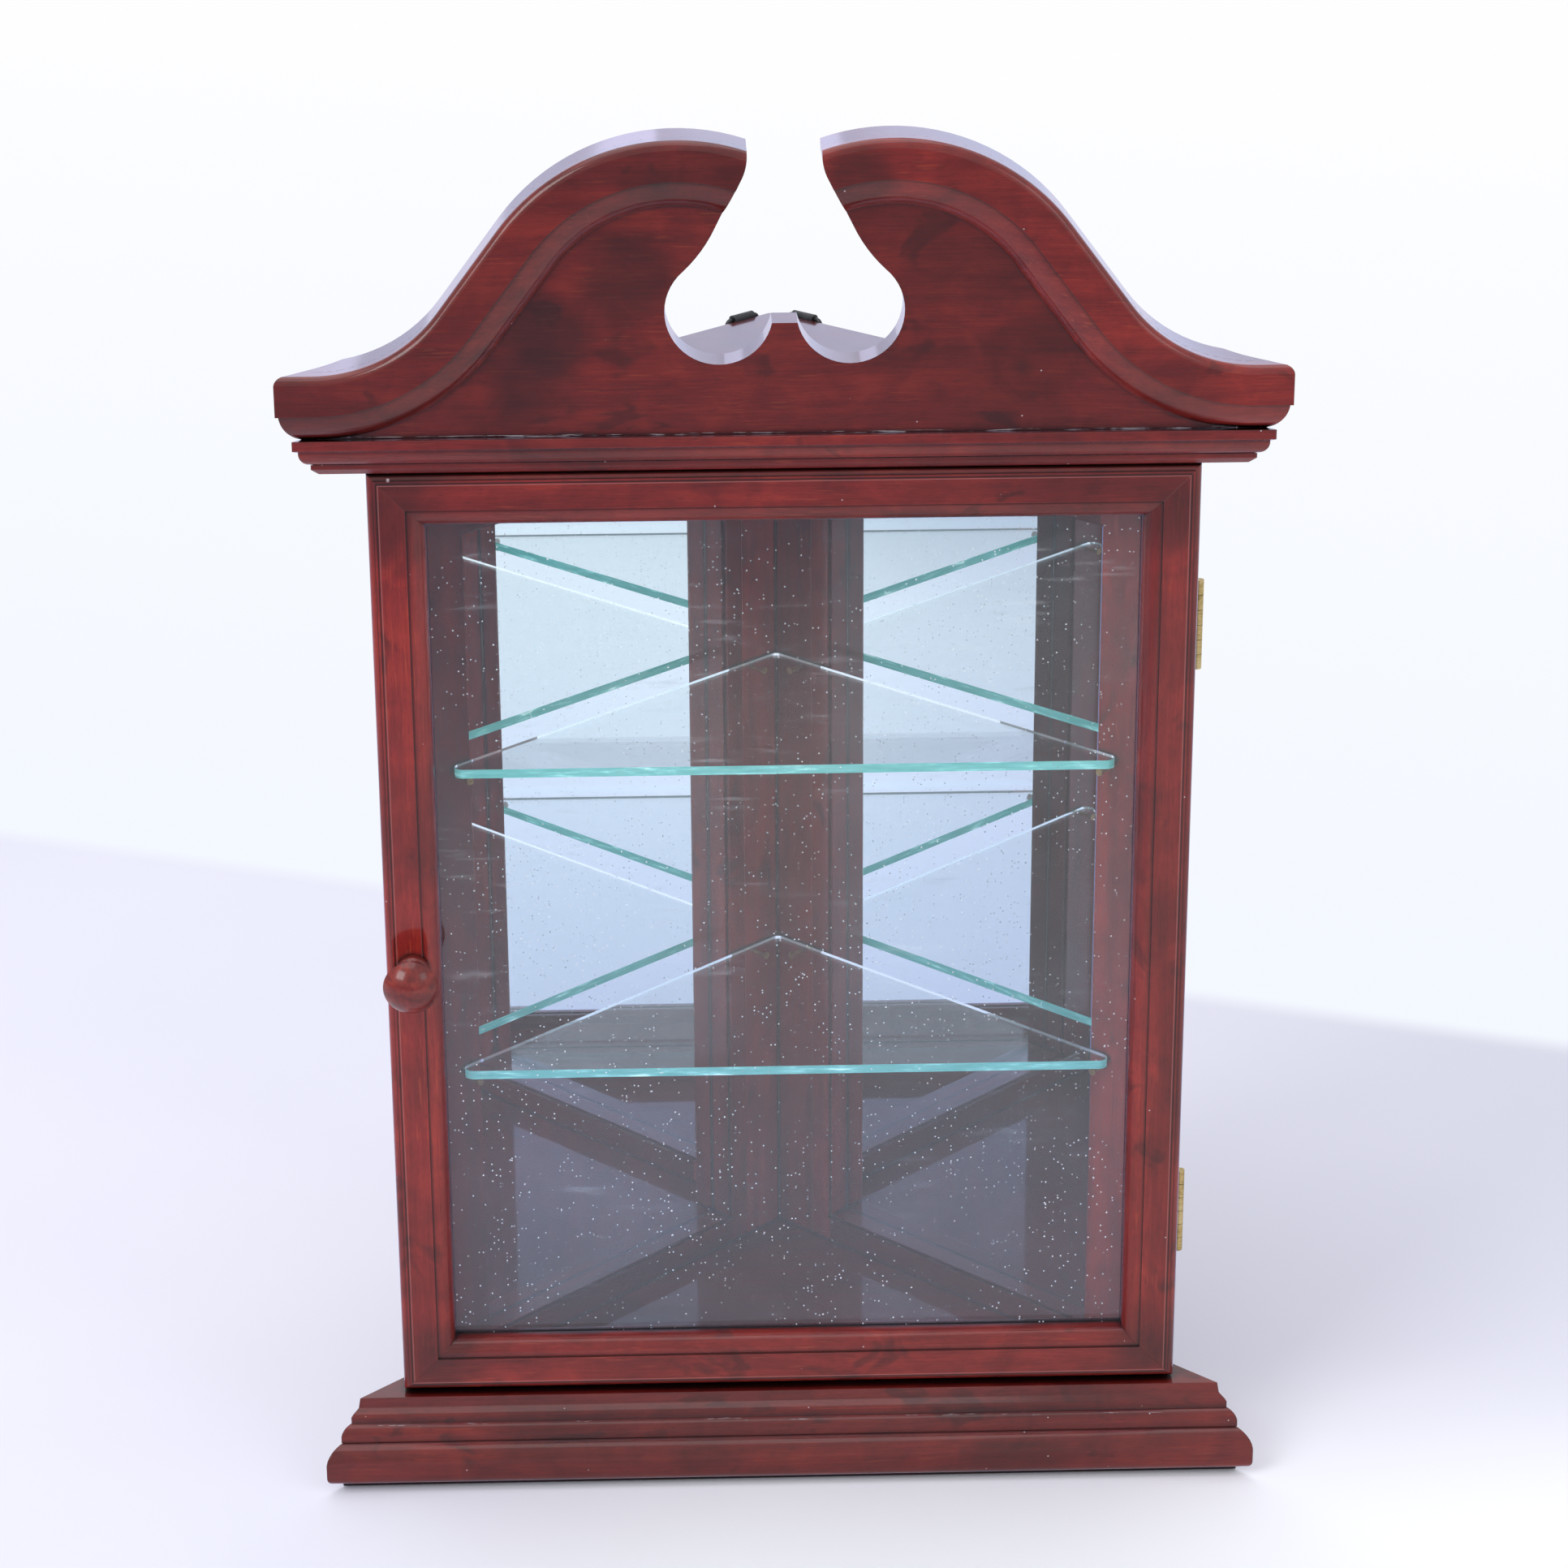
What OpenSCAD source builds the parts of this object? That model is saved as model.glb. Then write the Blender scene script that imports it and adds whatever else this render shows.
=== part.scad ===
// Corner display case with a mirrored interior, glass shelves, a glazed door and a scrolled pediment.
// Plan: a right-angled triangle. The two walls stand at 45 degrees and meet at the back corner.
// The door is at the front. x runs to the right, y to the back, z up, in millimetres.
// Inside this file y = 0 is the face of the closed door. place() then moves the origin to the
// centre of the footprint on the floor.

/* [Cabinet] */
// Distance from the face of the door to the point where the outer wall planes meet
corner_depth = 193; // [175:1:215]
// Thickness of the two walls, square to their faces
wall_t = 16; // [13:0.5:18]
// Width cut flat across the outer back corner
apex_flat = 4; // [2:0.5:6]
// Height of the base
base_h = 40; // [36:1:50]
// Depth of the rails under the floor board
base_rail_t = 12; // [8:1:14]
// Thickness of the floor board
floor_t = 12; // [8:1:16]
// Height of the cornice and of the top board behind it
cornice_h = 17.2; // [17.2:0.2:22]

/* [Door] */
// Height of the door
door_h = 433; // [380:1:520]
// Thickness of the door frame
door_t = 17.2; // [16:0.2:20]
// Width of the door frame members
door_frame_w = 24; // [22:0.5:34]
// Gap under the door and above it
door_gap = 2; // [1:0.5:4]
door_top_gap = 0.5; // [0.4:0.1:2]
// Gap between the back of the door and the case
door_back_gap = 0.8; // [0.6:0.1:2]
// Radius of the bead round the outer edge of the door
edge_bead_r = 3; // [2:0.5:4]
// Height of the arris between that bead and the flat
arris_h = 1; // [0.5:0.25:1.5]
// Radius of the ovolo round the glass
ovolo_r = 7; // [5:0.5:8]
// Depth of the lip behind the ovolo
ovolo_lip = 2; // [1:0.5:3]
// Width and height of the quirk beside the ovolo
door_quirk = 1; // [0.5:0.25:1.5]
// Thickness of the door glass
glass_t = 3; // [2:0.5:4]
// Gap round the edge of each pane
pane_gap = 0.5; // [0.3:0.1:1]

/* [Walls] */
// Width of the inner face of the front stiles
front_stile_w = 23; // [18:0.5:30]
// Width of the inner face of the boards in the back corner
corner_board_w = 22.7; // [18:0.1:28]
// Width of the stile between the corner board and the mirror
back_stile_w = 11.3; // [9:0.1:16]
// Height of the rail below the mirror
bottom_rail_h = 13; // [9:0.5:24]
// Height of the rail above the mirror
top_rail_h = 38; // [24:1:48]
// Width and depth of the step round the mirror opening
wall_quirk_w = 1.5; // [1:0.25:3]
wall_quirk_d = 2; // [1:0.25:4]
// How far the frame laps over the mirror
mirror_lap = 5; // [3:0.5:7]
// Thickness of the mirror and of the board behind it
mirror_t = 2; // [1.5:0.5:3]
backing_t = 1.5; // [1:0.5:3]

/* [Pediment] */
// Height of the scroll tops above the cornice
pediment_h = 124.6; // [120:0.2:130]
// Thickness of the pediment board
pediment_t = 17; // [12:0.5:20]
// Distance of the back of the pediment behind the face of the door
pediment_back = 10; // [6:0.5:12]
// Radius of the convex top of each scroll
scroll_r = 90.5; // [84:0.5:95]
// Distance of the centre of that curve from the middle
scroll_x = 44.2; // [42:0.2:46]
// Length of the straight flank between that curve and the hollow one
flank_l = 42.4; // [38:0.2:46]
// Radius of the hollow curve at the foot of each scroll
hollow_r = 65; // [60:0.5:74]
// Thickness of the moulding on the face of the board
scroll_t = 9.5; // [7:0.5:12]
// Width of the flat band of that moulding
band_w = 16.5; // [13:0.5:19]
// Radius of its top front edge
band_edge_r = 3.5; // [2:0.5:5]
// Height of the step between the band and its ovolo
band_step = 1.2; // [0.6:0.2:2]
// How far the ovolo bulges from its chord
ovolo_bulge = 1.9; // [1.4:0.1:3]
// Width of the throat between the two scrolls
throat_w = 30.4; // [24:0.2:36]
// Radius of the round openings below the throat
eye_r = 22.3; // [21:0.1:24]
// Distance of each round opening from the middle
eye_x = 27; // [25:0.2:28.4]
// Height of the centres of the round openings above the cornice
eye_h = 52; // [49:0.2:55]
// Height of the tab between the round openings
tab_h = 47; // [44:0.1:50]
// Radius of the nose at the end of each scroll
nose_r = 21; // [18:0.5:26]
// Height at which the throat starts to widen downwards, above the cornice
nose_h = 118.2; // [110:0.2:120]
// Slope of the throat sides from the vertical
throat_slope = 26.4; // [24:0.2:30]
// Radius of the bend from the throat into each round opening
neck_r = 60; // [30:1:80]

/* [Shelves] */
// Thickness of the glass shelves
shelf_t = 4; // [3:0.5:6]
// Height of the top of the lower shelf and of the upper shelf above the floor board
lower_shelf_h = 152.6; // [120:0.2:180]
upper_shelf_h = 296; // [250:1:330]
// Distance of the front edge of a shelf behind the front of the walls
shelf_setback = 2; // [1:0.5:4]
// Gap between a shelf and the walls
shelf_gap = 0.9; // [0.6:0.1:3]
// Radius of the shelf corners at the front and at the back
shelf_front_r = 4; // [2:0.5:8]
shelf_back_r = 3; // [1:0.5:6]
// Radius of the shelf pins and of their heads
pin_r = 0.9; // [0.7:0.1:1.5]
pin_head_r = 1.7; // [1.6:0.1:3]
// Thickness of a pin head
pin_head_t = 1; // [0.6:0.2:2]
// How far a pin stands out of the wall and how deep it is driven in
pin_out = 9; // [7:0.5:12]
pin_in = 7; // [5:0.5:9]
// Distance of the front pins from the front of the wall, and of the back pins from the corner
front_pin_at = 13.5; // [12:0.5:16]
back_pin_at = 17; // [15:0.5:19]

/* [Hinges] */
// Height of a hinge
hinge_h = 40; // [30:1:50]
// Distance of each hinge centre from the middle of the door
hinge_at = 140; // [110:1:160]
// Radius of the hinge barrel and of its pin
barrel_r = 2.1; // [1.9:0.1:2.1]
hinge_pin_r = 1.1; // [0.9:0.05:1.2]
// Distance of the hinge axis outside the edge of the door
hinge_out = 2.2; // [2.2:0.1:2.6]
// Number of knuckles
knuckles = 6; // [4:1:8]
// Gap between knuckles
knuckle_gap = 0.2; // [0.15:0.05:0.3]
// Width and thickness of a hinge leaf
leaf_w = 14; // [12.5:0.5:15]
leaf_t = 1; // [0.8:0.1:1.4]
// Spacing of the two screws in a leaf, and their distance from the edge of the door
leaf_screw_pitch = 24; // [16:1:24]
leaf_screw_in = 9; // [8.5:0.25:9.5]
// Radius of the small screws, radius of their heads, and their length
screw_r = 1.2; // [1:0.1:1.5]
screw_head_r = 2.3; // [1.9:0.1:2.6]
screw_l = 6; // [4.5:0.5:6]

/* [Knob and catch] */
// Radius of the knob and how far it stands out
knob_r = 12; // [9:0.5:13]
knob_out = 25; // [20:0.5:30]
// Radius of the foot of the knob and of its neck
knob_foot_r = 7.4; // [6:0.1:9]
knob_neck_r = 5.4; // [4:0.1:6]
// Thickness of the foot of the knob
knob_foot_t = 3; // [2:0.5:5]
// Distance of the knob from the edge of the door, and its height above the bottom of the door
knob_in = 11.8; // [9:0.1:16]
knob_at = 208; // [150:1:280]
// Radius and length of the screw in the knob, and radius of its head
knob_screw_r = 1.8; // [1.4:0.1:2]
knob_screw_l = 26; // [20:0.5:30]
knob_screw_head_r = 3.6; // [3:0.1:4]
// Radius and length of the round magnet in the case, and its height above the bottom of the door
magnet_r = 3; // [2.5:0.25:3.5]
magnet_l = 5; // [4:0.5:6]
magnet_at = 300; // [240:1:400]
// Distance of the magnet from the edge of the door
magnet_in = 11; // [10.5:0.1:11.5]
// How far the magnet stands out of the case
magnet_proud = 0.5; // [0.2:0.1:0.5]
// Radius and thickness of the steel disc on the door
strike_r = 4.5; // [3.5:0.25:4.5]
strike_t = 1; // [0.8:0.1:1.5]

/* [Hangers] */
// Distance of each hanger from the back corner, along the wall
hanger_at = 18; // [16:0.5:40]
// Height of the ring axis above the top board
hanger_up = 0.4; // [0:0.1:1]
// Width, thickness and length of the strap below the ring axis
strap_w = 13; // [9:0.5:14]
strap_t = 0.8; // [0.6:0.1:1]
strap_l = 26; // [22:1:34]
// Radius of the wire and of the loop of the strap round it
wire_r = 1; // [0.8:0.05:1]
strap_loop_r = 2.1; // [1.9:0.05:2.3]
// Radius of the round part of the ring
ring_r = 10; // [9.8:0.1:12]
// Radius of the ring's corners
ring_corner_r = 2.5; // [1.5:0.25:3]

/* [Hidden] */

$fn = 96;
eps = 0.01;             // overshoot of a cut past the face it starts from
fit = 0.03;             // radial clearance of a fixed pin or screw in its hole
running = 0.06;         // radial clearance of a turning pin
rest_gap = 0.3;         // clearance of a loose piece above what it rests on
diag = sqrt(2);

wood = "#6b2a2c";
dark_wood = "#54201f";
glass_tint = "#9fd8d2";
brass = "#b4a582";
dark_steel = "#3a3a3e";

// Heights
door_z = base_h + door_gap;
door_top = door_z + door_h;
wall_top = door_top + door_top_gap;
cornice_top = wall_top + cornice_h;
door_mid = door_z + door_h / 2;
lower_shelf_z = base_h + lower_shelf_h;
upper_shelf_z = base_h + upper_shelf_h;

// Plan. The door is as wide as the case at its front edge
case_y = door_t + door_back_gap;
reach = 3 * corner_depth;                        // longer than any piece, for cutting shapes
outer_plane = corner_depth;                      // |x| + y on the outer faces of the walls
door_w = 2 * (outer_plane - case_y);
inner_plane = outer_plane - wall_t * diag;       // |x| + y on their inner faces
apex_y = outer_plane - apex_flat / 2;
wall_l = (inner_plane - case_y) * diag;          // length of a wall's inner face
half_door = door_w / 2;

// Mirror opening, in the wall's own coordinates: a along it from the front, z up
sight_a0 = front_stile_w;
sight_a1 = wall_l - corner_board_w - back_stile_w;
sight_z0 = base_h + bottom_rail_h;
sight_z1 = wall_top - top_rail_h;
mirror_d = wall_t - mirror_t - backing_t;        // depth of the mirror's face behind the inner face

// Door section: u across the member from its outer edge, y from its face
ovolo_u = door_frame_w - ovolo_r;
glass_y = door_quirk + ovolo_r + ovolo_lip;
knob_y = -knob_out;

// Centre of the footprint: the knob is foremost, the apex is rearmost
middle_y = (knob_y + apex_y) / 2;

// Pediment curves: a convex circle, a straight flank and a hollow circle. The flank falls 4 for each 3
// outwards, so all of its ends are round numbers. The height left at the ends is the moulding's width
flank_out = 0.6;
flank_fall = 0.8;
scroll_z = cornice_top + pediment_h - scroll_r;
flank_top = [scroll_x + flank_fall * scroll_r, scroll_z + flank_out * scroll_r];
flank_foot = flank_top + flank_l * [flank_out, -flank_fall];
hollow = flank_foot + hollow_r * [flank_fall, flank_out];
end_z = hollow[1] - hollow_r;
pediment_end_h = end_z - cornice_top;
pediment_y = pediment_back - pediment_t;
nose_z = cornice_top + nose_h;
nose_x = throat_w / 2 + nose_r;

// The throat's sides slope away below the nose and bend into the round openings. The bend laps the
// opening by neck_lap, so that the two curves cross cleanly
neck_lap = 0.02;
eye = [eye_x, cornice_top + eye_h];
side_in = [cos(throat_slope), sin(throat_slope)];
side_up = [-sin(throat_slope), cos(throat_slope)];
from_eye = [nose_x, nose_z] + side_in * (neck_r - nose_r) - eye;
neck_reach = eye_r + neck_r - neck_lap;
throat_l = from_eye * side_up - sqrt(pow(from_eye * side_up, 2) - from_eye * from_eye + pow(neck_reach, 2));
neck = [nose_x, nose_z] + side_in * (neck_r - nose_r) - side_up * throat_l;

// Hinges
axis_x = half_door + hinge_out;
axis_y = door_t + door_back_gap / 2;
knuckle_h = (hinge_h - (knuckles - 1) * knuckle_gap) / knuckles;
leaf_screw_x = half_door - leaf_screw_in;

// Hangers, in the wall's own coordinates
hanger_a = wall_l + wall_t - hanger_at;
hanger_z = cornice_top + hanger_up;
hanger_d = wall_t + strap_loop_r;

module place() {
    translate([0, -middle_y, 0]) children();
}

// The left wall's own coordinates: x along the wall from the front, y out through the wall
module on_left_wall() {
    place()
        translate([-(inner_plane - case_y), case_y, 0])
            rotate([0, 0, 45])
                children();
}

module on_side(side) {
    mirror([side == "left" ? 0 : 1, 0, 0]) children();
}

module on_wall(side) {
    on_side(side) on_left_wall() children();
}

// Drawing in the plane of the front: x to the right, y up, z forwards from y = at
module on_front(at) {
    translate([0, at, 0])
        rotate([90, 0, 0])
            children();
}

// The plan of the cabinet between two depths, cut on the outer wall planes
module corner_plan(y0, y1) {
    polygon([
        [-(outer_plane - y0), y0], [outer_plane - y0, y0],
        [max(outer_plane - y1, apex_flat / 2), y1], [-max(outer_plane - y1, apex_flat / 2), y1]
    ]);
}

// Cuts a piece off on the two outer wall planes
module within_walls(y0, y1) {
    intersection() {
        children();
        linear_extrude(reach + reach) corner_plan(y0, y1);
    }
}

// A section drawn with x = depth and y = height, run from side to side
module run_across(width) {
    translate([-width / 2, 0, 0])
        rotate([90, 0, 90])
            linear_extrude(width)
                children();
}

// A polygon with its corners rounded to true arcs
function unit(v) = v / norm(v);
function half_turn(a, b, c) = acos(unit(a - b) * unit(c - b)) / 2;
function corner_in(a, b, r, half) = b + unit(a - b) * r / tan(half);
function corner_mid(a, b, c, r, half) = b + unit(unit(a - b) + unit(c - b)) * r / sin(half);

module rounded_outline(points, radii) {
    n = len(points);
    function before(i) = points[(i + n - 1) % n];
    function after(i) = points[(i + 1) % n];
    function half(i) = half_turn(before(i), points[i], after(i));
    polygon([
        for (i = [0 : n - 1], side = [0, 1])
            corner_in(side == 0 ? before(i) : after(i), points[i], radii[i], half(i))
    ]);
    for (i = [0 : n - 1])
        translate(corner_mid(before(i), points[i], after(i), radii[i], half(i)))
            circle(radii[i]);
}

// ---------------------------------------------------------------- base

torus_r = 9;
torus_y = -8.1;
torus_z = 13;
toe_r = 4.5;
toe_z = 3;

module base_profile() {
    difference() {
        polygon([
            [case_y, base_h], [-1.8, base_h], [-2.6, 35.5],
            [-5.2, 33.4], [-5.9, 32.4], [-5.9, 29.5], [-5.2, 24.4],
            [-10.4, 24.4], [-10.4, 22], [torus_y, 22],
            [torus_y - torus_r, torus_z], [torus_y - torus_r, toe_z + toe_r],
            [torus_y - torus_r + toe_r, toe_z], [-10.5, toe_z], [-10.5, 0], [case_y, 0]
        ]);
        translate([-6.3, 37.2]) circle(3.6);
    }
    translate([-5.2, 24.4]) circle(5.2);
    translate([torus_y, torus_z]) circle(torus_r);
    translate([torus_y - torus_r + toe_r, toe_z + toe_r]) circle(toe_r);
}

module base_moulding() {
    color(wood) place()
        within_walls(-corner_depth / 2, case_y)
            run_across(reach)
                base_profile();
}

module base_rail(side) {
    color(dark_wood) difference() {
        on_wall(side)
            linear_extrude(base_h - floor_t)
                polygon([
                    [-(wall_t - base_rail_t), wall_t - base_rail_t], [-wall_t, wall_t],
                    [wall_l + wall_t, wall_t], [wall_l + wall_t - base_rail_t, wall_t - base_rail_t]
                ]);
        apex_cut();
    }
}

// Flattens the outer back corner
module apex_cut() {
    place()
        translate([-reach / 2, apex_y, -eps])
            cube([reach, reach, reach * 2]);
}

module left_base_rail() {
    base_rail("left");
}

module right_base_rail() {
    base_rail("right");
}

module floor_board() {
    color(dark_wood) place()
        translate([0, 0, base_h - floor_t])
            linear_extrude(floor_t)
                corner_plan(case_y, apex_y);
}

// ---------------------------------------------------------------- walls

// What is cut out of the wall members round a mirror: the step in front and the rabbet behind
module mirror_cut(side) {
    on_wall(side) {
        translate([sight_a0 - wall_quirk_w, -eps, sight_z0 - wall_quirk_w])
            cube([
                sight_a1 - sight_a0 + 2 * wall_quirk_w, wall_quirk_d + eps,
                sight_z1 - sight_z0 + 2 * wall_quirk_w
            ]);
        rabbet = mirror_lap + pane_gap;
        translate([sight_a0 - rabbet, mirror_d, sight_z0 - rabbet])
            cube([
                sight_a1 - sight_a0 + 2 * rabbet, wall_t,
                sight_z1 - sight_z0 + 2 * rabbet
            ]);
    }
}

module pin_hole(side, along, shelf_z) {
    on_wall(side)
        translate([along, -eps, pin_z(shelf_z)])
            rotate([-90, 0, 0])
                cylinder(h = pin_in + eps, r = pin_r + fit);
}

module both_shelves(side, along) {
    pin_hole(side, along, lower_shelf_z);
    pin_hole(side, along, upper_shelf_z);
}

module front_stile(side) {
    color(wood) difference() {
        on_wall(side)
            translate([0, 0, base_h])
                linear_extrude(wall_top - base_h)
                    polygon([[0, 0], [sight_a0, 0], [sight_a0, wall_t], [-wall_t, wall_t]]);
        mirror_cut(side);
        both_shelves(side, front_pin_at);
        if (side == "right") case_hinge_cuts();
        if (side == "left") magnet_hole();
    }
}

module back_stile(side) {
    color(wood) difference() {
        on_wall(side)
            translate([sight_a1, 0, base_h])
                cube([back_stile_w, wall_t, wall_top - base_h]);
        mirror_cut(side);
    }
}

module rail(side, z0, z1) {
    color(wood) difference() {
        on_wall(side)
            translate([sight_a0, 0, z0])
                cube([sight_a1 - sight_a0, wall_t, z1 - z0]);
        mirror_cut(side);
    }
}

module corner_board(side) {
    color(wood) difference() {
        on_wall(side)
            translate([0, 0, base_h])
                linear_extrude(wall_top - base_h)
                    polygon([
                        [wall_l - corner_board_w, 0], [wall_l, 0],
                        [wall_l + wall_t, wall_t], [wall_l - corner_board_w, wall_t]
                    ]);
        apex_cut();
        both_shelves(side, wall_l - back_pin_at);
        at_hanger(side)
            translate([0, -strap_loop_r - screw_l, strap_screw_z])
                rotate([-90, 0, 0])
                    cylinder(h = screw_l + eps, r = screw_r + fit);
        at_hanger(side)
            translate([0, -strap_loop_r + eps, strap_screw_z])
                rotate([90, 0, 0])
                    cylinder(h = screw_head_r, r1 = screw_head_r, r2 = 0);
    }
}

module pane(side, d, t) {
    on_wall(side)
        translate([sight_a0 - mirror_lap, d, sight_z0 - mirror_lap])
            cube([
                sight_a1 - sight_a0 + 2 * mirror_lap, t,
                sight_z1 - sight_z0 + 2 * mirror_lap
            ]);
}

module left_front_stile() {
    front_stile("left");
}

module right_front_stile() {
    front_stile("right");
}

module left_back_stile() {
    back_stile("left");
}

module right_back_stile() {
    back_stile("right");
}

module left_top_rail() {
    rail("left", sight_z1, wall_top);
}

module right_top_rail() {
    rail("right", sight_z1, wall_top);
}

module left_bottom_rail() {
    rail("left", base_h, sight_z0);
}

module right_bottom_rail() {
    rail("right", base_h, sight_z0);
}

module left_corner_board() {
    corner_board("left");
}

module right_corner_board() {
    corner_board("right");
}

module left_mirror() {
    color("silver") pane("left", mirror_d, mirror_t);
}

module right_mirror() {
    color("silver") pane("right", mirror_d, mirror_t);
}

module left_backing() {
    color(dark_wood) pane("left", mirror_d + mirror_t, backing_t);
}

module right_backing() {
    color(dark_wood) pane("right", mirror_d + mirror_t, backing_t);
}

// ---------------------------------------------------------------- top

module top_board() {
    color(wood) place()
        translate([0, 0, wall_top])
            linear_extrude(cornice_h)
                corner_plan(case_y, apex_y);
}

// Drawn down from the top of the cornice, so that a taller cornice keeps its mouldings
module cornice_profile() {
    fillet_y = -10.7;
    ovolo = 6.2;
    polygon([
        [case_y, 0], [fillet_y, 0], [fillet_y, -4.2], [-8.4, -5.4], [-2.3, -5.8],
        [-2.3, -12], [-3.9, -12], [-3.9, -14], [-0.9, -16.8], [1.9, -cornice_h],
        [case_y, -cornice_h]
    ]);
    translate([-2.3, -5.8]) circle(ovolo);
}

module cornice() {
    color(wood) place()
        translate([0, 0, cornice_top])
            intersection() {
                run_across(reach) cornice_profile();
                translate([0, 0, -cornice_h])
                    linear_extrude(cornice_h)
                        corner_plan(-corner_depth / 2, case_y);
            }
}

// A point of the throat's sloping side: t down along it from the nose, n beyond it into the wood
function throat_side(t, n) = [nose_x, nose_z] - side_in * (nose_r - n) - side_up * t;

// A point on the line from the centre of the bend to the centre of the round opening
function neck_side(r) = neck + unit(eye - neck) * r;

function flip(p) = [-p[0], p[1]];

// The wood that bounds the throat on the right: a round nose, a slope and the bend below it
module throat_side_wood() {
    translate([nose_x, nose_z]) {
        circle(nose_r);
        translate([-nose_r, 0]) square([nose_r, reach]);
        rotate(throat_slope) {
            translate([neck_lap / 2 - nose_r, -throat_l]) square([nose_r, throat_l]);
            translate([neck_r - nose_r, -throat_l]) circle(neck_r);
        }
    }
}

// The opening between the scrolls: a throat over two round openings with a tab between them
module throat_outline() {
    over = 1;
    right = [
        [throat_w / 2 + over, nose_z + reach], [throat_w / 2 + over, nose_z], throat_side(0, over),
        throat_side(throat_l, over), neck_side(neck_r - over), neck_side(neck_r + over), eye,
        [eye_x, cornice_top + tab_h]
    ];
    difference() {
        polygon(concat(right, [for (i = [len(right) - 1 : -1 : 0]) flip(right[i])]));
        for (s = [0, 1])
            mirror([s, 0]) throat_side_wood();
    }
    for (s = [-1, 1])
        translate([s * eye_x, cornice_top + eye_h]) circle(eye_r);
}

// The left half of the pediment, without its openings
module half_pediment() {
    over = 1;
    difference() {
        union() {
            polygon([
                [over, cornice_top], [over, scroll_z], [-scroll_x, scroll_z], flip(flank_top),
                flip(flank_foot), flip(hollow), [-hollow[0], end_z], [-corner_depth * 2, end_z],
                [-corner_depth * 2, cornice_top]
            ]);
            translate([-scroll_x, scroll_z]) circle(scroll_r);
        }
        translate(flip(hollow)) circle(hollow_r);
        translate([-reach, cornice_top - reach]) square([reach * 2, reach]);
        translate([over, 0]) square([reach, reach + reach]);
    }
}

module pediment_outline() {
    difference() {
        for (s = [0, 1])
            mirror([s, 0]) half_pediment();
        throat_outline();
    }
}

module pediment_board() {
    color(wood) place()
        within_walls(pediment_y - eps, pediment_back + eps)
            on_front(pediment_back)
                linear_extrude(pediment_t)
                    pediment_outline();
}

// Section of the moulding: x = distance in from the outer edge, y = height above the board
module scroll_section() {
    w = pediment_end_h - band_w;
    h = scroll_t - band_step - eps;
    chord = norm([w, h]);
    bulge_r = (chord * chord / 4 + ovolo_bulge * ovolo_bulge) / (2 * ovolo_bulge);
    lean = atan2(w, h);
    back = bulge_r - ovolo_bulge;
    union() {
        difference() {
            square([band_w, scroll_t]);
            translate([-eps, scroll_t - band_edge_r])
                square([band_edge_r + eps, band_edge_r + eps]);
        }
        translate([band_edge_r, scroll_t - band_edge_r]) circle(band_edge_r);
        intersection() {
            translate([band_w - eps, 0]) square([w + eps * 2, h + eps]);
            translate([band_w + w / 2 - back * cos(lean), h / 2 - back * sin(lean)])
                circle(bulge_r);
        }
    }
}

// Keeps what lies in the quarter or so between two directions from the middle of a curve
module sector(from, to) {
    far = 4 * corner_depth;
    intersection() {
        children();
        translate([0, 0, -scroll_t])
            linear_extrude(scroll_t * 3)
                polygon([[0, 0], from * far, (from + to) * far, to * far]);
    }
}

// The left moulding along its whole curve, not yet cut at its ends
module scroll_run() {
    translate([-scroll_x, scroll_z])
        sector([1, 0], [-flank_fall, flank_out])
            rotate_extrude()
                translate([scroll_r, 0])
                    mirror([1, 0])
                        scroll_section();
    translate(flip(flank_top))
        rotate(atan2(flank_fall, flank_out))
            straight_run(flank_l);
    translate(flip(hollow)) {
        sector([flank_fall, -flank_out], [0, -1])
            rotate_extrude()
                translate([hollow_r, 0])
                    scroll_section();
        translate([0, -hollow_r, 0])
            straight_run(corner_depth);
    }
}

// A straight piece of the moulding, to the left, with its outer edge on top
module straight_run(length) {
    rotate([0, -90, 0])
        linear_extrude(length)
            rotate(-90)
                scroll_section();
}

module scroll(side) {
    over = 1;
    color(wood) on_side(side) place()
        difference() {
            within_walls(pediment_y - scroll_t * 2, pediment_y)
                on_front(pediment_y)
                    scroll_run();
            on_front(pediment_y + eps)
                linear_extrude(scroll_t * 2)
                    throat_outline();
            translate([over - throat_w / 2, pediment_y - scroll_t * 2, cornice_top])
                cube([reach, scroll_t * 3, reach]);
        }
}

module left_scroll() {
    scroll("left");
}

module right_scroll() {
    scroll("right");
}

// ---------------------------------------------------------------- shelves

function pin_z(shelf_z) = shelf_z - shelf_t - rest_gap - pin_head_r;

module shelf_pin(side, along, shelf_z) {
    on_wall(side)
        translate([along, pin_in, pin_z(shelf_z)])
            rotate([90, 0, 0]) {
                cylinder(h = pin_in + pin_out - pin_head_t, r = pin_r);
                translate([0, 0, pin_in + pin_out - pin_head_t])
                    cylinder(h = pin_head_t, r = pin_head_r);
            }
}

module shelf_pins() {
    color(brass)
        for (side = ["left", "right"], shelf_z = [lower_shelf_z, upper_shelf_z]) {
            shelf_pin(side, front_pin_at, shelf_z);
            shelf_pin(side, wall_l - back_pin_at, shelf_z);
        }
}

module shelf(shelf_z) {
    edge_plane = inner_plane - shelf_gap * diag;
    front_y = case_y + shelf_setback;
    color(glass_tint, 0.5) place()
        translate([0, 0, shelf_z - shelf_t])
            linear_extrude(shelf_t)
                rounded_outline(
                    [
                        [-(edge_plane - front_y), front_y], [edge_plane - front_y, front_y],
                        [0, edge_plane]
                    ],
                    [shelf_front_r, shelf_front_r, shelf_back_r]
                );
}

module upper_shelf() {
    shelf(upper_shelf_z);
}

module lower_shelf() {
    shelf(lower_shelf_z);
}

// ---------------------------------------------------------------- door

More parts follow.
